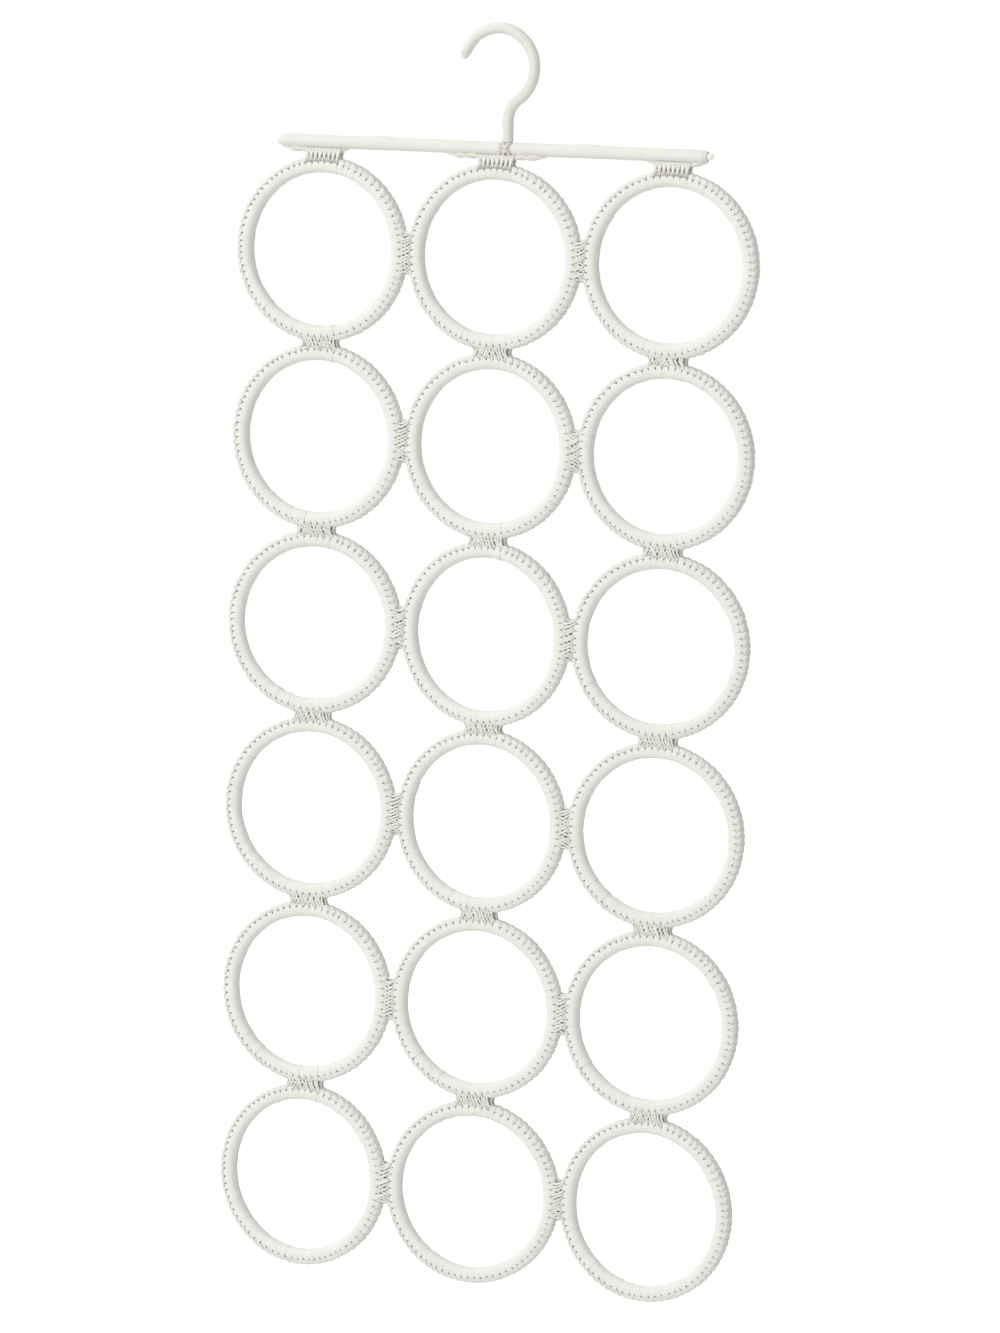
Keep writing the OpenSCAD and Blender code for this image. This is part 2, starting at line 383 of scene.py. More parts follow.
def strands(surface: Surface, paths: np.ndarray, radii: np.ndarray, up: np.ndarray,
            painted_shade: np.ndarray, sides: int = 6, flat: float = 1.0) -> None:
    """Carries a round section along many paths at once and closes their ends.

    A point of the section stands off the path by the radius, times cosine along the side
    direction and sine along the up direction, where side is the tangent crossed with up.

    Args:
        surface: The mesh that takes the strands.
        paths: Points as an array of strands, steps and three coordinates.
        radii: Section radius at each step, for all strands or for each.
        up: The direction away from what the strands lie on, at each step.
        painted_shade: The painted shade at each step.
        sides: Number of points round the section.
        flat: Thickness along up as a share of the width.
    """
    count, steps = paths.shape[:2]
    radii = np.broadcast_to(radii, (count, steps))
    painted_shade = np.broadcast_to(painted_shade, (count, steps))
    tangent = unit(np.gradient(paths, axis=1))
    side = unit(np.cross(tangent, up))
    rise = np.cross(side, tangent)
    turn = np.arange(sides) * (2 * math.pi / sides)
    ring = (side[:, :, None] * np.cos(turn)[None, None, :, None]
            + rise[:, :, None] * (flat * np.sin(turn))[None, None, :, None])
    skin = paths[:, :, None] + ring * radii[:, :, None, None]
    ends = np.stack([paths[:, 0], paths[:, -1]], axis=1)
    points = np.concatenate([skin.reshape(count, -1, 3), ends], axis=1)
    each = steps * sides + 2
    k, s = np.meshgrid(np.arange(steps - 1), np.arange(sides), indexing="ij")
    k, s = k.ravel(), s.ravel()
    s2 = (s + 1) % sides
    quads = np.stack([k * sides + s, (k + 1) * sides + s, (k + 1) * sides + s2, k * sides + s2], axis=1)
    length = np.linalg.norm(np.diff(paths, axis=1), axis=2).sum(axis=1).mean() / MM
    around = 2 * math.pi * radii.max() / MM / sides
    along = length / (steps - 1)
    quad_uv = np.stack([np.stack([a * around, b * along], axis=1)
                        for a, b in ((s, k), (s, k + 1), (s + 1, k + 1), (s + 1, k))], axis=1)
    r = np.arange(sides)
    r2 = (r + 1) % sides
    last = (steps - 1) * sides
    tips = np.concatenate([
        np.stack([r, r2, np.full(sides, steps * sides)], axis=1),
        np.stack([last + r2, last + r, np.full(sides, steps * sides + 1)], axis=1),
    ])
    tip_uv = np.zeros((len(tips), 3, 2))
    shift = (np.arange(count) * each)[:, None, None]
    surface.add(
        points.reshape(-1, 3),
        [(quads[None] + shift).reshape(-1, 4), (tips[None] + shift).reshape(-1, 3)],
        [np.tile(quad_uv, (count, 1, 1)), np.tile(tip_uv, (count, 1, 1))],
        np.concatenate([np.repeat(painted_shade, sides, axis=1), painted_shade[:, [0, -1]]], axis=1).ravel(),
    )


def bell(x: np.ndarray, width: float) -> np.ndarray:
    """A bell curve: one at zero, falling off within about the given width."""
    return np.exp(-((x / width) ** 2))


def apart(turn: np.ndarray, place: np.ndarray | float) -> np.ndarray:
    """Angle between two directions round a section, from 0 to half a turn."""
    return np.abs((turn - place + math.pi) % (2 * math.pi) - math.pi)


def round_uv(radius: float) -> np.ndarray:
    """UV values round a section of the given radius, with the seam's second value at the end."""
    return np.append(ROUND, 2 * math.pi) * radius / MM


def ramp(x: np.ndarray, start: float, end: float) -> np.ndarray:
    """A smooth step from zero at start to one at end."""
    t = np.clip((x - start) / (end - start), 0.0, 1.0)
    return t * t * (3 - 2 * t)


@dataclass(frozen=True)
class RingPlace:
    """Where one ring stands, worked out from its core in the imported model."""

    row: int
    column: int
    core_d: float = 4.4 * MM
    row_turns_deg: tuple[float, ...] = (0, 1, 3, 2, 0, -2)

    @property
    def turn(self) -> float:
        """The ring's turn about its upright line, left and right in turn along a row."""
        return math.radians(self.row_turns_deg[self.row - 1] * (-1 if self.column % 2 == 0 else 1))

    @property
    def box(self) -> np.ndarray:
        """Lowest and highest corner of the ring's core."""
        return np.array(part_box(f"ring_core_r{self.row}c{self.column}"))

    @property
    def centre(self) -> np.ndarray:
        """The ring's middle."""
        return self.box.mean(axis=0)

    @property
    def radius(self) -> float:
        """Radius of the circle that the ring's tube follows."""
        low, high = self.box
        return (high[2] - low[2] - self.core_d) / 2

    @property
    def across(self) -> np.ndarray:
        """The ring's own direction to the right, in its plane."""
        return np.array([math.cos(self.turn), math.sin(self.turn), 0.0])

    @property
    def front(self) -> np.ndarray:
        """The ring's own direction towards the front."""
        return np.array([math.sin(self.turn), -math.cos(self.turn), 0.0])

    def point(self, angle: np.ndarray, out: np.ndarray, forward: np.ndarray) -> np.ndarray:
        """Places points by the ring's own measures.

        Args:
            angle: Angle round the ring, from the right over the top.
            out: Distance outwards from the tube's middle line, in the ring's plane.
            forward: Distance from the ring's plane to the front.

        Returns:
            The points, with one more axis for the coordinates.
        """
        angle, out, forward = np.broadcast_arrays(angle, out, forward)
        reach = self.radius + out
        return (self.centre
                + (reach * np.cos(angle))[..., None] * self.across
                + (reach * np.sin(angle))[..., None] * np.array([0.0, 0.0, 1.0])
                + forward[..., None] * self.front)

    def outward(self, angle: np.ndarray, section: np.ndarray) -> np.ndarray:
        """Direction away from the tube's middle line at an angle round its section."""
        return unit(self.point(angle, np.cos(section), np.sin(section)) - self.point(angle, 0.0, 0.0))


@dataclass(frozen=True)
class Stitches:
    """The crochet stitch, whose sizes the ring covers and the ties share.

    Attributes:
        tube_r: Radius of the wound tube.
        seat_r: Radius under a tie, where the cover is drawn in.
        collar_r: Inner radius of a winding's closed ends, inside the seat.
        pitch: Length of a stitch along the tube's middle line.
        tie_stitches: Stitches that a tie takes.
        squareness: Exponent of the section's outline, where 2 is round and more is flatter in front.
        ridge: How much fuller the tube is under the chain.
        strands: Strands of yarn in a stitch.
        strand_groove: Depth of the groove between strands, and stitch_groove that between stitches.
        hole_depth: Depth of the holes beside the chain, and slit_depth that of their slits.
        hole_deg: Place of the holes, as an angle round the section from the outer side.
        hole_spread_deg: Half width of a hole round the section.
        pit_depth: Depth of the small pits near the rim, between the chain's loops.
        pit_deg: Place of the pits round the section.
        pit_part: Place of the front's pits across a stitch; the back's lie half a stitch on.
        lap: Length by which a tie's winding laps over the cover beside it.
        sway: Spread of the stitches' radius in a cover, as tie_sway is in a tie.
        tie_over: How much thicker a tie's winding is than the cover.
        collar_painted_shade: Shade of a winding's closed ends, and seat_painted_shade that of the seats.
        across_steps: Shares of a stitch at which its surface is worked out.
        section_steps: Angles round half the section at which it is worked out, in degrees.
    """

    tube_r: float = 3.9 * MM
    seat_r: float = 2.4 * MM
    collar_r: float = 1.5 * MM
    pitch: float = 3.62 * MM
    tie_stitches: int = 5
    squareness: float = 2.7
    ridge: float = 0.55 * MM
    strands: int = 3
    strand_groove: float = 0.03 * MM
    stitch_groove: float = 0.06 * MM
    hole_depth: float = 0.8 * MM
    slit_depth: float = 0.2 * MM
    hole_deg: float = 62.0
    hole_spread_deg: float = 8.0
    pit_depth: float = 0.7 * MM
    pit_deg: float = 28.0
    pit_part: float = 0.27
    lap: float = 0.12 * MM
    sway: float = 0.07 * MM
    tie_sway: float = 0.04 * MM
    tie_over: float = 0.05 * MM
    # collar_painted_shade: Painted shade of a winding's closed ends, and seat_painted_shade that of the seats.
    collar_painted_shade: float = 0.1
    seat_painted_shade: float = 0.3
    across_steps: tuple[float, ...] = (0.0, 0.045, 0.10, 0.19, 0.27, 0.34, 0.5, 0.66, 0.77, 0.86, 0.95)
    section_steps: tuple[float, ...] = (0, 14, 24, 32, 42, 51, 57, 62, 67, 73, 82, 94, 112, 140)

    @property
    def tie_half(self) -> float:
        """Half length of a tie along the tube's middle line."""
        return self.tie_stitches * self.pitch / 2

    def sections(self) -> np.ndarray:
        """Angles round the tube's section, closer together beside the holes."""
        half = np.array(self.section_steps)
        return np.radians(np.concatenate([-half[:0:-1], half, [180.0]]))

    def form(self, section: np.ndarray | float) -> np.ndarray:
        """Reach of the section's outline against a circle's: a squarish curve of |cos|^n + |sin|^n."""
        power = self.squareness
        return (np.abs(np.cos(section)) ** power + np.abs(np.sin(section)) ** power) ** (-1 / power)

    def relief(self, part: np.ndarray, section: np.ndarray) -> tuple[np.ndarray, np.ndarray]:
        """Depth of the wound surface inside a stitch, and its painted shade.

        The depth adds a rounded groove between strands, a bell-shaped groove between stitches, a
        deep narrow hole beside the chain on each face, a slit that runs inwards from the hole and
        a pit near the rim, less the ridge under the chain.

        Args:
            part: Place across the stitch, from 0 to 1.
            section: Angle round the section, where 0 is the outer side.

        Returns:
            The depth below the tube's radius, and the painted shade of each point, darkest in the grooves, holes,
            slits and pits.
        """
        away = np.minimum(part, 1 - part)
        folded = np.degrees(np.abs((section + math.pi) % (2 * math.pi) - math.pi))
        groove = self.strand_groove * (1 - np.abs(np.sin(math.pi * self.strands * part)) ** 0.7)
        inner = ramp(folded, 76.0, 104.0)
        seam = self.stitch_groove * bell(away, 0.07) * (1 - 0.55 * inner)
        hole = self.hole_depth * bell(away, 0.10) * bell(folded - self.hole_deg, self.hole_spread_deg)
        slit = (self.slit_depth * bell(away, 0.05)
                * ramp(folded, self.hole_deg - 10, self.hole_deg) * (1 - ramp(folded, 74.0, 98.0)))
        place = np.where(np.sin(section) >= 0, self.pit_part, self.pit_part + 0.5)
        beside = np.abs((part - place + 0.5) % 1.0 - 0.5)
        pit = self.pit_depth * bell(beside, 0.12) * bell(folded - self.pit_deg, 9.0)
        depth = groove + seam + hole + slit + pit - self.ridge * (1 - ramp(folded, 34.0, 60.0))
        # Painted shade: darker in the grooves, holes, slits and pits, where shade falls.
        painted_shade = (0.05 * groove / self.strand_groove + 0.06 * bell(away, 0.07) * (1 - inner)
                  + 0.75 * (hole + slit) / self.hole_depth + 0.7 * pit / self.pit_depth)
        return depth, painted_shade


STITCHES = Stitches()


def wound_tube(surface: Surface, place: RingPlace, edges: np.ndarray, sway: np.ndarray,
               radius: float, inner: float) -> None:
    """Winds yarn round a stretch of a ring's tube, stitch by stitch, and closes its ends.

    A point stands off the tube's middle line by the radius less the stitch's relief. Each end
    is closed by a flat collar from the tube's outline to the inner radius.

    Args:
        surface: The mesh that takes the winding.
        place: The ring.
        edges: Angles round the ring at which the stitches begin and end.
        sway: Extra radius of each stitch.
        radius: The tube's radius.
        inner: The collars' inner radius.
    """
    steps = np.array(STITCHES.across_steps)
    count = len(edges) - 1
    part = np.append(np.tile(steps, count), 0.0)
    angle = np.append((edges[:-1, None] + np.diff(edges)[:, None] * steps).ravel(), edges[-1])
    which = np.append(np.repeat(np.arange(count), len(steps)), count - 1)
    section = STITCHES.sections()
    depth, painted_shade = STITCHES.relief(part[:, None], section[None, :])
    reach = ((radius + sway)[which][:, None] - depth) * STITCHES.form(section)
    points = place.point(angle[:, None], reach * np.cos(section), reach * np.sin(section))
    v = np.append(section, section[0] + 2 * math.pi)
    surface.sheet(points[::-1], angle[::-1] * place.radius / MM, v * STITCHES.tube_r / MM, painted_shade[::-1])
    outer = (STITCHES.tube_r - STITCHES.relief(np.zeros(1), section)[0]) * STITCHES.form(section)
    reach = np.stack([outer, np.full(len(section), inner)])
    for end, step in ((edges[0], 1), (edges[-1], -1)):
        points = place.point(end, reach * np.cos(section), reach * np.sin(section))
        # The collars get painted shade, where the winding's ends turn inwards.
        surface.sheet(points[::step], np.array([0.0, 2.0]), v, STITCHES.collar_painted_shade)


@dataclass(frozen=True)
class RingCover:
    """A crocheted ring: a wound tube with a chain of slanted loops round its outer side.

    Attributes:
        place: Where the ring stands.
        ties: The sides at which a tie takes the ring.
        plies: Strands side by side in a chain loop.
        ply_r: Radius of such a strand.
        ply_step: Distance from one strand to the next, in stitches.
        loop_rise: Height of a loop's middle over the tube.
        sunk: Depth of a loop's two ends in the tube.
        loop_advance: Stitches that a loop passes on its way outwards.
    """

    place: RingPlace
    ties: tuple[Side, ...]
    plies: int = 3
    ply_r: float = 0.60 * MM
    ply_step: float = 0.25
    loop_rise: float = 0.58 * MM
    sunk: float = 0.45 * MM
    loop_advance: float = 1.05

    def stitch_edges(self, rng: np.random.Generator) -> list[np.ndarray]:
        """Angles of the stitches' edges in each stretch between two ties.

        The stitches of a stretch are as near to the wanted pitch as a whole number allows, and
        each is a little wider or narrower than the next.

        Args:
            rng: The ring's own source of small differences.

        Returns:
            One array of angles for each stretch.
        """
        half = STITCHES.tie_half / self.place.radius
        at = sorted(math.radians(s.value) for s in self.ties)
        stretches = []
        for k, start in enumerate(at):
            end = at[k + 1] if k + 1 < len(at) else at[0] + 2 * math.pi
            free = end - start - 2 * half
            count = round(free * self.place.radius / STITCHES.pitch)
            width = 1 + 0.10 * rng.standard_normal(count)
            edges = np.concatenate([[0.0], np.cumsum(width)]) / width.sum()
            stretches.append(start + half + free * edges)
        return stretches

    def seats(self, surface: Surface) -> None:
        """Draws the tube in under each tie, darkened with painted shade, where it shows only in the gaps."""
        half = STITCHES.tie_half / self.place.radius
        section = np.radians(np.arange(0, 360, 30.0))
        for side in self.ties:
            angle = math.radians(side.value) + np.linspace(-half, half, 9)
            points = self.place.point(angle[:, None], STITCHES.seat_r * np.cos(section),
                                      STITCHES.seat_r * np.sin(section))
            # The seats carry painted shade.
            surface.sheet(points[::-1], angle[::-1], np.append(section, 2 * math.pi), STITCHES.seat_painted_shade)

    def chain(self, surface: Surface, edges: np.ndarray, rng: np.random.Generator) -> None:
        """Lays the slanted loops of the chain on both faces of a stretch.

        A loop starts sunk beside the hole, rises over the tube as a half sine and sinks again at
        the rim, while it advances along the tube. The loops of the back lie half a stitch on.

        Args:
            surface: The mesh that takes the loops.
            edges: Angles of the stitches' edges.
            rng: The ring's own source of small differences.
        """
        steps = np.linspace(0.0, 1.0, 8)
        arch = np.sin(math.pi * (0.06 + 0.88 * steps))
        spread = arch ** 0.5 * (1 - 0.5 * ramp(steps, 0.55, 0.85))
        floor = STITCHES.tube_r - self.sunk
        for face in Face:
            offset = 0.0 if face is Face.FRONT else 0.5
            lead = np.arange(len(edges) - 1) + offset
            wander = 1 + 0.04 * rng.standard_normal((len(lead), 1))
            lift = 0.05 * MM * rng.standard_normal((len(lead), 1))
            for ply in range(self.plies):
                beside = ply - (self.plies - 1) / 2
                number = lead[:, None] - 0.02 + self.loop_advance * steps + self.ply_step * beside * spread
                number = np.clip(number, 0.05, len(edges) - 1.05)
                angle = np.interp(number, np.arange(len(edges)), edges)
                section = face.value * np.radians(STITCHES.hole_deg * wander * (1 - steps) ** 0.9 - 1.0)
                top = self.loop_rise + lift - 0.12 * MM * beside ** 2
                rise = (floor + (self.sunk + top) * arch ** 0.6) * STITCHES.form(section)
                paths = self.place.point(angle, rise * np.cos(section), rise * np.sin(section))
                up = self.place.outward(angle, section)
                radii = self.ply_r * (0.5 + 0.5 * arch ** 0.6) * wander
                # Painted shade at the loop's ends, where they sink into the tube.
                strands(surface, paths, radii, up, 0.5 * (1 - arch) ** 2, flat=0.8)

    def build(self, finish: YarnFinish) -> None:
        """Makes the ring's one piece and hangs it on its row.

        Args:
            finish: The ring yarn.
        """
        row, column = self.place.row, self.place.column
        rng = np.random.default_rng(100 * row + column)
        surface = Surface()
        for edges in self.stitch_edges(rng):
            sway = STITCHES.sway * rng.standard_normal(len(edges) - 1)
            inside_seat = 0.98 * STITCHES.seat_r
            wound_tube(surface, self.place, edges, sway, STITCHES.tube_r, inside_seat)
            self.chain(surface, edges, rng)
        self.seats(surface)
        name = f"ring_cover_r{row}c{column}"
        dress(surface, f"{name}_crochet", f"row_{row}", finish, [name])


@dataclass(frozen=True)
class TieEnd:
    """One side of a tie: the stretch of a ring's tube that it winds round."""

    place: RingPlace
    side: Side

    def edges(self) -> np.ndarray:
        """Angles of the tie's stitches round the ring."""
        half = STITCHES.tie_half / self.place.radius
        return math.radians(self.side.value) + np.linspace(-half, half, STITCHES.tie_stitches + 1)

    def wind(self, surface: Surface, rng: np.random.Generator) -> None:
        """Winds the tie's stitches round the tube; the end turns lap a little over the cover's."""
        edges = self.edges()
        edges[[0, -1]] += np.array([-1.0, 1.0]) * STITCHES.lap / self.place.radius
        sway = STITCHES.tie_sway * rng.standard_normal(len(edges) - 1)
        wound_tube(surface, self.place, edges, sway, STITCHES.tube_r + STITCHES.tie_over, STITCHES.collar_r)

    def spots(self, number: np.ndarray, section: np.ndarray | float, lift: float) -> np.ndarray:
        """Places on the tube by stitch number and angle round the section."""
        middle = math.radians(self.side.value)
        angle = middle + (number - STITCHES.tie_stitches / 2) * STITCHES.pitch / self.place.radius
        reach = (STITCHES.tube_r + lift) * STITCHES.form(section)
        return self.place.point(angle, reach * np.cos(section), reach * np.sin(section))


@dataclass(frozen=True)
class RingTie:
    """A tie between two rings: both tubes wound, and yarn crossed over the gap on both faces.

    Attributes:
        first: The upper or left end.
        second: The lower or right end.
        extra: Stitches by which the crossing reaches past the windings.
        lanes: Strands that lean the same way on one face.
        lean: Stitches by which a strand moves on over the gap.
        yarn_r: Radius of a crossing strand.
        bulge: How far an upper strand bows out over the gap.
        layer: How much lower the strands lie that lean the other way.
        sunk: Depth of a strand's two ends in the tubes.
        pinch: How far the gap's middle draws in, as a share of the way to the tie's middle.
        section_deg: Place of the strands' ends round the tubes, at the tie's ends and in its middle.
        web_half: Half thickness of the filling, whose edges lie web_sunk deep in the tubes.
    """

    first: TieEnd
    second: TieEnd
    extra: float
    lanes: int = 12
    lean: float = 0.9
    yarn_r: float = 0.62 * MM
    bulge: float = 0.5 * MM
    layer: float = 0.35 * MM
    sunk: float = 0.22 * MM
    pinch: float = 0.10
    section_deg: tuple[float, float] = (12.0, 56.0)
    web_half: float = 1.3 * MM
    web_sunk: float = 0.6 * MM

    @property
    def front(self) -> np.ndarray:
        """The tie's own direction towards the front, between those of its two rings."""
        return unit(self.first.place.front + self.second.place.front)

    def across(self, number: np.ndarray, section: np.ndarray | float, sunk: float, steps: np.ndarray,
               lean: float = 0.0) -> np.ndarray:
        """Lines from the first tube to the second, drawn in at the gap's middle.

        A line runs straight between its two ends, and its middle moves towards the tie's own
        middle by the pinch times a half sine.

        Args:
            number: Stitch number at which each line leaves the first tube.
            section: Angle round both sections.
            sunk: Depth below the tube's surface.
            steps: Shares of the way, from 0 to 1.
            lean: Stitches by which a line moves on before it meets the second tube.

        Returns:
            Points as an array of lines, steps and three coordinates.
        """
        last = STITCHES.tie_stitches
        a = self.first.spots(number, section, -sunk)
        b = self.second.spots(last - np.clip(number + lean, -self.extra, last + self.extra), section, -sunk)
        lines = a[:, None] + (b - a)[:, None] * steps[:, None]
        middle, other = (end.spots(np.array([last / 2]), 0.0, 0.0)[0] for end in (self.first, self.second))
        inward = (middle + (other - middle) * steps[:, None]) - lines
        inward = inward - (inward @ self.front)[..., None] * self.front
        return lines + inward * (self.pinch * np.sin(math.pi * steps))[:, None]

    def crossing(self, surface: Surface, rng: np.random.Generator) -> None:
        """Lays strands that lean one way over strands that lean the other way.

        Towards the tie's two ends the faces draw together, by a power of one less the square of
        the place along the tie.

        Args:
            surface: The mesh that takes the strands.
            rng: The tie's own source of small differences.
        """
        steps = np.linspace(0.0, 1.0, 8)
        arch = np.sin(math.pi * steps)
        radii = self.yarn_r * (0.8 + 0.2 * arch)
        fullness = np.clip(1 - np.linspace(-1.0, 1.0, self.lanes) ** 2, 0.0, 1.0) ** 0.4
        end_deg, middle_deg = self.section_deg
        for face in Face:
            away = face.value * self.front
            # The strands that lean the other way lie lower and get painted shade; all strands get painted shade at
            # their sunk ends.
            for lean, layer, shade in ((self.lean, 0.0, 0.0), (-self.lean, self.layer, 0.12)):
                number = np.linspace(-self.extra, STITCHES.tie_stitches + self.extra, self.lanes)
                number = number + 0.08 * rng.standard_normal(self.lanes)
                section = end_deg + (middle_deg - end_deg) * fullness + 6.0 * rng.standard_normal(self.lanes)
                paths = self.across(number, face.value * np.radians(section), self.sunk, steps, lean)
                paths = paths + away * ((self.bulge - layer) * arch)[:, None]
                strands(surface, paths, radii, np.broadcast_to(away, paths.shape), 0.3 * (1 - arch) ** 3 + shade)

    def web(self, surface: Surface) -> None:
        """Fills the gap behind the crossing with two layers of yarn, darkened with painted shade, which meet at the
        ends.
        """
        number = np.linspace(0.1 - self.extra, STITCHES.tie_stitches + self.extra - 0.1, 11)
        steps = np.linspace(0.0, 1.0, 6)
        lines = self.across(number, 0.0, self.web_sunk, steps)
        lens = np.sqrt(np.clip(1 - np.linspace(-1.0, 1.0, len(number)) ** 2, 0.0, 1.0))
        run = np.arange(len(number)) * STITCHES.pitch / MM
        for face in Face:
            points = lines + (face.value * self.web_half * lens)[:, None, None] * self.front
            surface.sheet(points[::face.value], run, steps * 3.0, 0.14, closed=False)

    def build(self, surface: Surface, rng: np.random.Generator) -> None:
        """Makes the tie's windings, its crossing and what fills the gap behind it."""
        self.first.wind(surface, rng)
        self.second.wind(surface, rng)
        self.crossing(surface, rng)
        self.web(surface)


@dataclass(frozen=True)
class CordPlace:
    """Where an anchor cord runs, worked out from its node, whose stitches reach up past it."""

    node: str
    radius: float = 1.2 * MM

    @property
    def ends(self) -> tuple[float, float]:
        """X of the cord's left and right end."""
        low, high = np.array(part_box(self.node))
        return low[0], high[0]

    @property
    def z(self) -> float:
        """Height of the cord's middle line."""
        return np.array(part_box(self.node))[0][2] + self.radius

    @property
    def tie_x(self) -> float:
        """X of the tie that goes round the cord: the middle of the ring below it."""
        return float(RingPlace(1, int(self.node[-1])).centre[0])


@dataclass(frozen=True)
class CordTie:
    """A tie of the first row: loops of yarn over the anchor cord and down to the ring's tube.

    Attributes:
        ring: The tie's end on the ring.
        cord: The anchor cord.
        loops: Loops of yarn over the cord.
        yarn_r: Radius of a loop's yarn.
        stagger: Stitches by which a loop's feet step to one side, in turn.
        foot_deg: Place of the feet round the tube's section, where they lie sunk deep.
        fill_half: Distance of the sheets behind the loops from the bar's middle plane.
        fill_sunk: Depth of the sheets' lower edges in the tube.
    """

    ring: TieEnd
    cord: CordPlace
    loops: int = 16
    yarn_r: float = 0.72 * MM
    stagger: float = 0.35
    foot_deg: float = 58.0
    sunk: float = 0.3 * MM
    fill_half: float = 1.5 * MM
    fill_sunk: float = 1.2 * MM

    def build(self, surface: Surface, rng: np.random.Generator) -> None:
        """Winds the ring's tube, and carries loops up its front, over the cord and down its back.

        A loop is two straight legs joined by a half circle round the cord's middle line.

        Args:
            surface: The mesh that takes the tie.
            rng: The tie's own source of small differences.
        """
        self.ring.wind(surface, rng)
        cord_z = self.cord.z
        hug = self.cord.radius + 0.1 * MM + self.yarn_r
        number = np.linspace(0.0, STITCHES.tie_stitches, self.loops)
        foot = number + self.stagger * np.where(np.arange(self.loops) % 2 == 0, 1.0, -1.0)
        foot = np.clip(foot, 0.0, STITCHES.tie_stitches)
        section = math.radians(self.foot_deg)
        front, back = (self.ring.spots(foot, way * section, -self.sunk) for way in (1, -1))
        turn = np.linspace(0.0, math.pi, 9)
        arc = np.zeros((self.loops, len(turn), 3))
        arc[..., 0] = self.ring.spots(number, 0.0, 0.0)[:, :1]
        arc[..., 1] = -hug * np.cos(turn)
        arc[..., 2] = cord_z + hug * np.sin(turn)
        outwards = np.array([0.0, 0.25 * MM, 0.0])
        middle_front = (front + arc[:, 0]) / 2 - outwards
        middle_back = (back + arc[:, -1]) / 2 + outwards
        paths = np.concatenate([front[:, None], middle_front[:, None], arc,
                                middle_back[:, None], back[:, None]], axis=1)
        centre = np.array([0.0, 0.0, (cord_z + front[0, 2]) / 2])
        up = unit((paths - centre) * np.array([0.0, 1.0, 1.0]))
        radii = self.yarn_r * (1 + 0.06 * rng.standard_normal((self.loops, 1)))
        painted_shade = np.zeros(paths.shape[1])
        # Painted shade at the loop's feet, where they sink into the tube.
        painted_shade[[0, -1]] = 0.7
        strands(surface, paths, radii, up, painted_shade, sides=7)
        self.fill(surface)

    def fill(self, surface: Surface) -> None:
        """Closes the gap behind the loops with a sheet of yarn on each face, darkened with painted shade."""
        number = np.linspace(0.3, STITCHES.tie_stitches - 0.3, 12)
        low = self.ring.spots(number, 0.0, -self.fill_sunk)
        low = low[np.argsort(low[:, 0])]
        steps = np.linspace(0.0, 1.0, 5)
        for face in Face:
            foot = low[::face.value]
            height = np.array([0.0, 0.0, 1.0]) * (self.cord.z - foot[:, 2:])
            points = foot[:, None] + height[:, None] * steps[:, None]
            points[..., 1] -= face.value * self.fill_half
            surface.sheet(points, foot[:, 0] / MM, steps * 3.0, 0.1, closed=False)


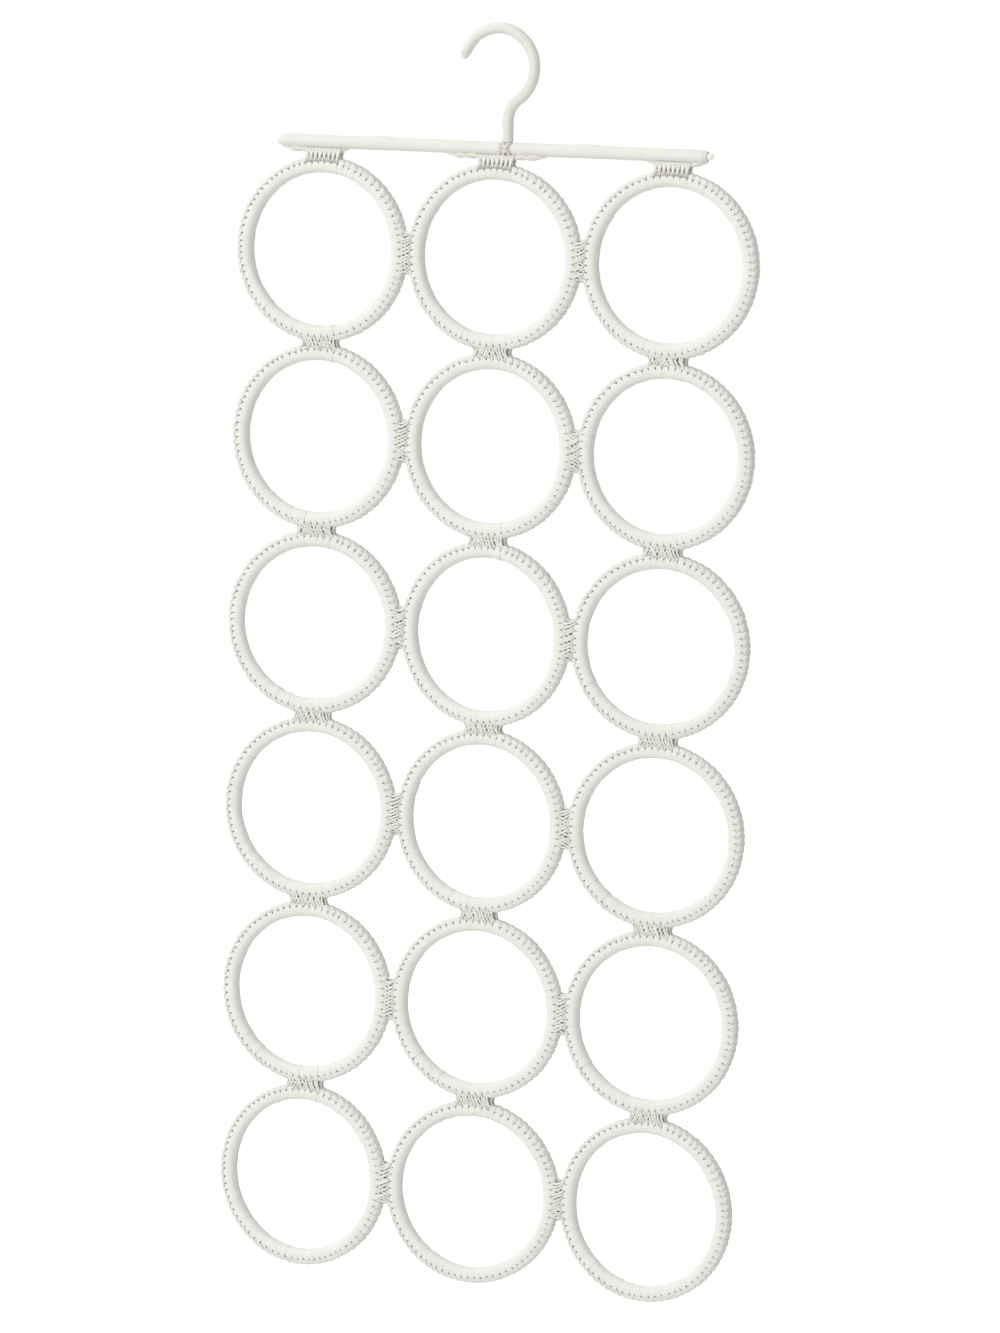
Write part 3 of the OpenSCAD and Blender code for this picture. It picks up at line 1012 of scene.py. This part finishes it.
@dataclass(frozen=True)
class BarWrap:
    """The yarn wound round the bar, as one half of it.

    Attributes:
        node: The node that it stands for.
        closed_left: Whether its left end is closed and rounded.
        swell_at: Where the wrap swells on its upper side, along X.
        radius: Radius of the wrap.
        nose: Length of the rounded end.
        swell_h: Height of the swelling, and swell_l its half length.
        turn_pitch: Step of the yarn's turns, and turn_depth their height.
        ends: Lengths at the left and right end where the rings of points lie closer.
        step: Distance between the rings of points elsewhere.
        wave: Height of the slow swellings.
        notch_r: Radius of the clear space round a cord, and notch_half its half length.
    """

    node: str
    closed_left: bool
    swell_at: float
    radius: float = 3.4 * MM
    nose: float = 6.5 * MM
    swell_h: float = 0.62 * MM
    swell_l: float = 9.0 * MM
    turn_pitch: float = 0.9 * MM
    turn_depth: float = 0.014 * MM
    ends: tuple[float, float] = (4.5 * MM, 2.5 * MM)
    step: float = 0.4 * MM
    wave: float = 0.05 * MM
    notch_r: float = 2.55 * MM
    notch_half: float = 10.2 * MM

    def profile(self, x: np.ndarray, low: float, high: float) -> np.ndarray:
        """Radius along the wrap: round at a closed end, drawn in at a cut one."""
        left = x - low
        right = high - x
        if self.closed_left:
            start = np.sqrt(np.clip(1 - ((self.nose - left) / self.nose) ** 2, 0, 1))
            lead = np.where(left < self.nose, start, 1.0)
            return self.radius * np.minimum(lead, 0.93 + 0.07 * ramp(right, 0.0, 1.0 * MM))
        lead = 0.93 + 0.07 * ramp(left, 0.0, 1.2 * MM)
        tail = 0.80 + 0.20 * ramp(right, 0.0, 3.0 * MM)
        return self.radius * np.minimum(lead, tail)

    def lengths(self, low: float, high: float) -> np.ndarray:
        """Places of the rings of points along the bar, which lie closer at both ends."""
        first, last = self.ends
        count = int((high - low) / self.step)
        ease = 0.5 - 0.5 * np.cos(np.linspace(0, math.pi, 24))
        return np.concatenate([low + first * ease[:-1], np.linspace(low + first, high - last, count)[:-1],
                               high - last + last * ease])

    def build(self, finish: YarnFinish, cords: list[CordPlace]) -> None:
        """Makes the wrap's piece.

        The radius is the profile, plus a bell-shaped swelling on the upper side, plus shallow
        turns whose height is a sine of the distance along the bar and the angle round it. Over
        each anchor cord the underside keeps clear of the ties' loops.

        Args:
            finish: The bar yarn.
            cords: The anchor cords.
        """
        low, high = np.array(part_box(self.node))
        rod = np.array(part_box("bar_rod")).mean(axis=0)
        x = self.lengths(low[0], high[0])[:, None]
        up = np.cos(ROUND)
        base = self.profile(x, low[0], high[0])
        swell = self.swell_h * bell(np.abs(x - self.swell_at) / self.swell_l, 1.0) ** 2 * ramp(up, -0.1, 0.9)
        phase = 2 * math.pi * x / self.turn_pitch + ROUND
        groove = np.abs(np.sin(phase / 2)) ** 0.6
        slow = self.wave * np.sin(x * 260 + 1.3) * np.cos(ROUND * 2 + x * 90)
        reach = base + (swell + self.turn_depth * (groove - 0.6) + slow) * (base / self.radius)
        y = reach * np.sin(ROUND)
        z = rod[2] + reach * up
        below = np.zeros_like(y)
        for cord in cords:
            near = 1 - ramp(np.abs(x - cord.tie_x), self.notch_half - 0.8 * MM, self.notch_half)
            room = np.sqrt(np.clip(self.notch_r ** 2 - y ** 2, 0, None)) * near
            under = (z < rod[2]) & (room > 0) & (z < cord.z + room)
            z = np.where(under, cord.z + room, z)
            # Painted shade on the underside where it rises over a cord.
            below = np.maximum(below, under * 0.6)
        points = np.stack([np.broadcast_to(x, y.shape), y, z], axis=2)
        surface = Surface()
        # Painted shade in the grooves between the turns, plus that over the cords.
        surface.sheet(points, x[:, 0] / MM, round_uv(self.radius), 0.05 * (1 - groove) + below)
        # Painted shade on both end caps.
        surface.cap(points[0], False, 0.3)
        surface.cap(points[-1], True, 0.3)
        dress(surface, f"{self.node}_yarn", "frame", finish, [self.node])


@dataclass(frozen=True)
class AnchorCord:
    """A cord sewn under the bar, twisted from strands, that rises to the bar outside its tie.

    Attributes:
        place: Where the cord runs.
        strand_count: Strands in the cord.
        fullness: Radius of the twisted cord against its node's.
        lay: Length of one turn of the twist.
        tie_half: Half length of the stretch below the bar that the tie goes round.
        rise: How much higher the cord runs beside the tie, and climb the length it rises over.
        tuck: How much higher its tapered ends run, and taper their length.
        wave: Radius of the strands' helix, as a share of the cord's.
        thickness: Radius of a strand, as a share of the cord's.
        lead: How far the cord runs on to the left under the bar.
    """

    place: CordPlace
    strand_count: int = 3
    fullness: float = 1.6
    lay: float = 21.0 * MM
    tie_half: float = 8.8 * MM
    rise: float = 1.5 * MM
    climb: float = 3.5 * MM
    tuck: float = 1.6 * MM
    taper: float = 8.0 * MM
    wave: float = 0.46
    thickness: float = 0.62
    lead: float = 0.0

    def build(self, finish: YarnFinish) -> None:
        """Makes the cord's piece.

        Each strand's middle line is a helix round the cord's line, which rises beside the tie by
        a smooth step, and both the helix and the strand taper at the ends.

        Args:
            finish: The cord yarn.
        """
        low, high = self.place.ends
        low -= self.lead
        x = np.linspace(low + 0.2 * MM, high - 0.2 * MM, int((high - low) / (0.4 * MM)))
        beside = ramp(np.abs(x - self.place.tie_x), self.tie_half, self.tie_half + self.climb)
        taper = np.clip(np.minimum(x - low, high - x) / self.taper, 0.02, 1.0) ** 0.5
        radius = self.place.radius * (1 + (self.fullness - 1) * beside)
        line = self.place.z + self.rise * beside + self.tuck * (1 - taper)
        wave = self.wave * radius * taper
        start = np.arange(self.strand_count)[:, None] * (2 * math.pi / self.strand_count)
        phase = 2 * math.pi * (x - low) / self.lay + start
        paths = np.stack([np.broadcast_to(x, phase.shape), wave * np.cos(phase), line + wave * np.sin(phase)], axis=2)
        up = np.broadcast_to(np.array([0.0, 0.0, 1.0]), paths.shape)
        surface = Surface()
        strands(surface, paths, self.thickness * radius * taper, up, np.zeros(len(x)), sides=10)
        dress(surface, f"{self.place.node}_twist", "frame", finish, [self.place.node])


@dataclass(frozen=True)
class HookWrap:
    """The yarn wound along the hook, from its drawn-in tip to the clean cut above the bar.

    Attributes:
        seat_r: Radius of the hook's middle line at the seat.
        tip_deg: Angle at which the hook's wire ends, from the right over the top.
        neck_r: Radius of the bend between the hook's round and its stem.
        radius: Radius of the wrap.
        nose: Length of the rounded tip, whose wire ends nose_share of the radius before it.
        tip_length: Length over which the wrap narrows to its tip.
        seams: Height of the two long seams' lips.
        wave: Height of the slow swellings.
        fold_run: Distance from the tip to the small fold where the yarn is tucked in.
        fold_turn: Place of the fold round the section.
        fold_half: Half length of the fold along the hook.
        fold_depth: Depth of the fold.
    """

    seat_r: float = 20.4 * MM
    tip_deg: float = 163.0
    neck_r: float = 14.0 * MM
    radius: float = 2.9 * MM
    nose: float = 1.6 * MM
    nose_share: float = 0.85
    tip_length: float = 6.0 * MM
    seams: tuple[float, float] = (0.06 * MM, 0.05 * MM)
    wave: float = 0.08 * MM
    fold_run: float = 2.6 * MM
    fold_turn: float = math.radians(315)
    fold_half: float = 0.9 * MM
    fold_depth: float = 0.5 * MM

    def route(self) -> tuple[np.ndarray, np.ndarray]:
        """The hook's middle line from its tip to the foot of the wrap.

        It is an arc round the seat's circle, an arc back through the neck and a straight stem.

        Returns:
            The points of the line and the distance along it.
        """
        low, high = np.array(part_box("hook_wrap"))
        stem_x = np.array(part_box("stem_lashing")).mean(axis=0)[0]
        centre_z = high[2] - self.radius - self.seat_r
        neck_x = stem_x + self.neck_r
        neck_a = math.acos(neck_x / (self.seat_r + self.neck_r))
        neck_z = centre_z - (self.seat_r + self.neck_r) * math.sin(neck_a)
        past = self.radius * self.nose_share / self.seat_r
        one = np.linspace(math.radians(self.tip_deg) + past, -neck_a, 190)
        two = np.linspace(math.pi - neck_a, math.pi, 40)[1:]
        stem = np.linspace(neck_z, low[2] + 0.1 * MM, 26)[1:]
        x = np.concatenate([self.seat_r * np.cos(one), neck_x + self.neck_r * np.cos(two),
                            np.full_like(stem, stem_x)])
        z = np.concatenate([centre_z + self.seat_r * np.sin(one), neck_z + self.neck_r * np.sin(two), stem])
        line = np.stack([x, np.zeros_like(x), z], axis=1)
        run = np.concatenate([[0.0], np.cumsum(np.linalg.norm(np.diff(line, axis=0), axis=1))])
        return line, run

    def build(self, finish: YarnFinish) -> None:
        """Makes the wrap's piece.

        A point stands off the line by the radius, less the taper at the tip, plus two long seams
        that wander round the section and slow swellings, less a small fold beside the tip.

        Args:
            finish: The hook yarn.
        """
        line, run = self.route()
        depth = np.array([0.0, -1.0, 0.0])
        outer = np.cross(unit(np.gradient(line, axis=0)), depth)
        nose = np.sqrt(np.clip(1 - (1 - np.clip(run / self.nose, 0, 1)) ** 2, 0.0, 1))
        foot = 0.94 + 0.06 * ramp(run[-1] - run, 0.0, 0.8 * MM)
        run = run[:, None]
        base = (self.radius * (0.60 + 0.40 * ramp(run[:, 0], 0.0, self.tip_length)) * nose * foot)[:, None]
        gaps = (apart(ROUND, 2.55 + 0.35 * np.sin(run * 60)), apart(ROUND, 0.65 + 0.25 * np.sin(run * 45 + 1.0)))
        lip, crease = (sum(h * bell(gap - shift, width) for h, gap in zip(self.seams, gaps))
                       for shift, width in ((0.0, 0.12), (0.2, 0.1)))
        slow = self.wave * (np.sin(run * 330) * np.cos(ROUND - run * 40)
                            + 0.6 * np.sin(run * 870 + 2.0) * np.cos(2 * ROUND))
        fold = bell((run - self.fold_run) / self.fold_half, 1.0) * bell(apart(ROUND, self.fold_turn), 0.5)
        reach = base + (lip - crease + slow) * (base / self.radius) - self.fold_depth * fold
        points = (line[:, None] + reach[..., None] * (np.cos(ROUND)[None, :, None] * depth
                                                      + np.sin(ROUND)[None, :, None] * outer[:, None]))
        # Painted shade along the two seams and in the tucked fold.
        painted_shade = 0.2 * bell(gaps[0] - 0.2, 0.1) + 0.2 * bell(gaps[1] - 0.2, 0.1) + 0.8 * fold
        surface = Surface()
        surface.sheet(points, run[:, 0] / MM, round_uv(self.radius), painted_shade, swap_uv=True)
        # Painted shade on the tip's and the foot's caps.
        surface.cap(points[0], False, 0.5)
        surface.cap(points[-1], True, 0.5)
        dress(surface, "hook_wrap_yarn", "frame", finish, ["hook_wrap"])


@dataclass(frozen=True)
class StemLashing:
    """The yarn at the stem's foot: turns round the rod, and loops that cross in front and behind.

    Attributes:
        half: Half length of the gap in the bar's wrap.
        turns: Turns of yarn round the rod in the gap.
        turn_r: Radius of the turns' middle line.
        yarn_r: Radius of the yarn.
        slopes_deg: Slopes of the crossing loops.
        spread: How far the loops lean out, against a plane of their slope.
    """

    half: float = 3.3 * MM
    turns: int = 7
    turn_r: float = 2.35 * MM
    yarn_r: float = 0.62 * MM
    slopes_deg: tuple[float, ...] = (-46.0, -34.0, 34.0, 46.0)
    spread: float = 0.62

    def build(self, finish: YarnFinish) -> None:
        """Makes the lashing's piece.

        The turns are circles round the rod, side by side. Each crossing loop is an ellipse: a
        circle in a plane that leans to one side.

        Args:
            finish: The cord yarn.
        """
        low, high = np.array(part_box("stem_lashing"))
        middle = (low + high) / 2
        around = (high[1] - low[1]) / 2 - self.yarn_r
        turn = np.linspace(0.0, 2 * math.pi, 41)
        loops = [(np.full_like(turn, at), self.turn_r) for at in np.linspace(-self.half, self.half, self.turns)]
        for k, slope in enumerate(self.slopes_deg):
            reach = around * (1.0 - 0.06 * (k % 2))
            loops.append((reach * np.sin(turn) * math.tan(math.radians(slope)) * self.spread, reach))
        paths = np.array([middle + np.stack([sideways, -reach * np.cos(turn), reach * np.sin(turn)], axis=1)
                          for sideways, reach in loops])
        up = unit((paths - middle) * np.array([0.2, 1.0, 1.0]))
        surface = Surface()
        strands(surface, paths, np.full(len(turn), self.yarn_r), up, np.full(len(turn), 0.05), sides=8)
        dress(surface, "stem_lashing_yarn", "frame", finish, ["stem_lashing"])


@dataclass(frozen=True)
class Studio:
    """The camera at the photograph's angle, the soft light and the pale floor.

    Attributes:
        frame_h_px: Height of the photograph.
        focal_px: Focal length in pixels of the photograph.
        eye: The camera's place.
        yaw_deg: How far the camera stands to the right.
        pitch_deg: How far the camera looks down.
        roll_deg: The camera's roll.
        shift_px: Shift of the picture's middle, in pixels of the photograph, to the right and up.
        key_at: Place of the square lamp at the upper left, which faces key_aim.
        key_size: Side of that lamp.
        key_w: Power of that lamp, in watts.
        dark_side: Direction in which the room is darkest.
        room_levels: Strength of the room's light, and what is left of it on the dark side.
        room_edges: Cosines from the dark side between which the room's light falls.
        floor_z: Height of the floor, and floor_r its radius.
        floor_glow: White light that the floor adds to its own.
    """

    frame_h_px: float = 1333.0
    focal_px: float = 7000.0
    sensor_mm: float = 36.0
    eye: tuple[float, float, float] = (1.466, -3.387, 0.0825)
    yaw_deg: float = 23.3
    pitch_deg: float = 6.5
    roll_deg: float = 1.36
    shift_px: tuple[float, float] = (2.5, 6.5)
    key_at: tuple[float, float, float] = (-1.9, -2.2, 1.5)
    key_aim: tuple[float, float, float] = (0.0, 0.0, -0.33)
    key_size: float = 1.6
    key_w: float = 34.0
    dark_side: tuple[float, float, float] = (0.87, 0.44, -0.22)
    room_levels: tuple[float, float] = (1.0, 0.10)
    room_edges: tuple[float, float] = (0.25, 0.85)
    floor_z: float = -1.25
    floor_r: float = 9.0
    floor_colour: tuple[float, float, float] = (0.86, 0.86, 0.85)
    floor_roughness: float = 0.9
    floor_glow: float = 0.62

    def camera(self) -> None:
        """Sets the camera: forward, right and up come from yaw and pitch, and roll turns the last two."""
        yaw, pitch, roll = (math.radians(a) for a in (self.yaw_deg, self.pitch_deg, self.roll_deg))
        forward = np.array([-math.sin(yaw) * math.cos(pitch), math.cos(yaw) * math.cos(pitch), -math.sin(pitch)])
        right = np.array([math.cos(yaw), math.sin(yaw), 0.0])
        up = np.cross(right, forward)
        right, up = math.cos(roll) * right + math.sin(roll) * up, -math.sin(roll) * right + math.cos(roll) * up
        data = bpy.data.cameras.new("camera")
        data.sensor_width = self.sensor_mm
        data.lens = self.focal_px / self.frame_h_px * self.sensor_mm
        data.shift_x, data.shift_y = (s / self.frame_h_px for s in self.shift_px)
        data.clip_start, data.clip_end = 0.05, 60.0
        cam = bpy.data.objects.new("camera", data)
        axes = np.eye(4)
        axes[:3, 0], axes[:3, 1], axes[:3, 2], axes[:3, 3] = right, up, -forward, self.eye
        cam.matrix_world = Matrix(axes.tolist())
        bpy.context.scene.collection.objects.link(cam)
        bpy.context.scene.camera = cam

    def lamp(self) -> None:
        """Adds one square soft lamp, which faces its aim."""
        data = bpy.data.lights.new("key_lamp", "AREA")
        data.size = self.key_size
        data.energy = self.key_w
        obj = bpy.data.objects.new("key_lamp", data)
        back = unit(np.array(self.key_at) - np.array(self.key_aim))
        right = unit(np.cross([0.0, 0.0, 1.0], back))
        axes = np.eye(4)
        axes[:3, 0], axes[:3, 1], axes[:3, 2], axes[:3, 3] = right, np.cross(back, right), back, self.key_at
        obj.matrix_world = Matrix(axes.tolist())
        bpy.context.scene.collection.objects.link(obj)

    def room(self) -> None:
        """Surrounds the object with a pale room that has a darker side.

        The room's light falls from one level to the other as a smooth step of the cosine between
        its direction and the dark side's.
        """
        world = bpy.data.worlds.new("room")
        bpy.context.scene.world = world
        world.use_nodes = True
        tree = world.node_tree
        cosine = add_node(tree, "VectorMath")
        cosine.operation = "DOT_PRODUCT"
        fill_inputs(tree, cosine, {0: add_node(tree, "TexCoord").outputs["Generated"], 1: self.dark_side})
        (near, far), (bright, dark) = self.room_edges, self.room_levels
        level = add_node(tree, "MapRange", {"Value": cosine.outputs["Value"], "From Min": near, "From Max": far,
                                            "To Min": bright, "To Max": dark})
        level.interpolation_type = "SMOOTHSTEP"
        soft = tree.nodes["Background"]
        fill_inputs(tree, soft, {"Color": WHITE, "Strength": level.outputs["Result"]})
        self.seen_white(tree, soft, add_node(tree, "Background", {"Color": WHITE}), tree.nodes["World Output"])

    @staticmethod
    def seen_white(tree: bpy.types.NodeTree, own: bpy.types.Node, white: bpy.types.Node,
                   output: bpy.types.Node) -> None:
        """Mixes in a white that only the camera, gloss and glass see.

        Args:
            tree: The tree of all three nodes.
            own: The shader that lights the object.
            white: The shader that is seen.
            output: The tree's output.
        """
        rays = add_node(tree, "LightPath").outputs
        seen = rays["Is Camera Ray"]
        for name in ("Is Glossy Ray", "Is Transmission Ray"):
            either = add_node(tree, "Math", {0: seen, 1: rays[name]})
            either.operation = "MAXIMUM"
            seen = either.outputs["Value"]
        mix = add_node(tree, "MixShader", {0: seen, 1: own.outputs[0], 2: white.outputs[0]})
        fill_inputs(tree, output, {"Surface": mix.outputs["Shader"]})

    def floor(self) -> None:
        """Lays a pale round floor, which added white light keeps as pale as the room."""
        turn = np.linspace(0, 2 * math.pi, 97)[:-1]
        rim = np.stack([self.floor_r * np.cos(turn), self.floor_r * np.sin(turn), np.full(96, self.floor_z)], axis=1)
        mesh = bpy.data.meshes.new("floor")
        mesh.from_pydata(rim.tolist(), [], [list(range(96))])
        obj = bpy.data.objects.new("floor", mesh)
        bpy.context.scene.collection.objects.link(obj)
        mat, tree, shader = new_material("floor_paint")
        fill_inputs(tree, shader, {"Base Color": (*self.floor_colour, 1.0), "Roughness": self.floor_roughness})
        glow = add_node(tree, "Emission", {"Color": WHITE, "Strength": self.floor_glow})
        both = add_node(tree, "AddShader", {0: shader.outputs[0], 1: glow.outputs[0]})
        self.seen_white(tree, shader, both, tree.nodes["Material Output"])
        mesh.materials.append(mat)

    def build(self) -> None:
        """Makes the camera, the lamp, the room and the floor."""
        self.camera()
        self.lamp()
        self.room()
        self.floor()
        bpy.context.scene.view_settings.view_transform = "Standard"


def ring_sides(row: int, column: int) -> tuple[Side, ...]:
    """The sides at which ties take a ring.

    Args:
        row: The ring's row, from the top.
        column: The ring's column, from the left.

    Returns:
        The sides, in turn.
    """
    sides = [Side.TOP]
    sides += [Side.RIGHT] if column < COLUMNS[-1] else []
    sides += [Side.BOTTOM] if row < ROWS[-1] else []
    sides += [Side.LEFT] if column > COLUMNS[0] else []
    return tuple(sides)


def dress_hidden_nodes(finishes: dict[str, HardFinish]) -> None:
    """Gives the carried-over nodes their finishes.

    Args:
        finishes: Each node name's beginning and its finish.
    """
    for name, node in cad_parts.items():
        for start, finish in finishes.items():
            if name.startswith(start):
                node.data.materials.clear()
                node.data.materials.append(finish.material)
                LOG.info("%s stays, in %s", name, finish.slot)


def main() -> None:
    """Builds the camera and the light, then every piece in order."""
    logging.basicConfig(level=logging.INFO, format="%(message)s")
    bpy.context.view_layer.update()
    Studio().build()
    dress_hidden_nodes({"ring_core": RING_PLASTIC, "bar_rod": ROD_ENAMEL, "hook_wire": HOOK_STEEL})
    cords = [CordPlace(f"anchor_cord_{c}") for c in COLUMNS]
    BarWrap("bar_wrap_left", True, -67 * MM).build(BAR_YARN, cords)
    BarWrap("bar_wrap_right", False, 52 * MM).build(BAR_YARN, cords)
    for cord in cords:
        AnchorCord(cord, lead=5.0 * MM if cord is cords[0] else 0.0).build(CORD_YARN)
    HookWrap().build(HOOK_YARN)
    StemLashing().build(CORD_YARN)
    for row in ROWS:
        rng = np.random.default_rng(row)
        ties = Surface()
        for column in COLUMNS:
            ring = RingPlace(row, column)
            RingCover(ring, ring_sides(row, column)).build(RING_YARN)
            if row == ROWS[0]:
                CordTie(TieEnd(ring, Side.TOP), cords[column - 1]).build(ties, rng)
            else:
                above = TieEnd(RingPlace(row - 1, column), Side.BOTTOM)
                RingTie(above, TieEnd(ring, Side.TOP), 0.35).build(ties, rng)
        dress(ties, f"row_ties_{row}_yarn", f"tie_{row}", TIE_YARN, [f"row_ties_{row}"])
        beside = Surface()
        for column in COLUMNS[:-1]:
            left = TieEnd(RingPlace(row, column), Side.RIGHT)
            RingTie(left, TieEnd(RingPlace(row, column + 1), Side.LEFT), 0.55).build(beside, rng)
        dress(beside, f"side_ties_{row}_yarn", f"row_{row}", TIE_YARN, [f"side_ties_{row}"])


if __name__ == "__main__":
    main()
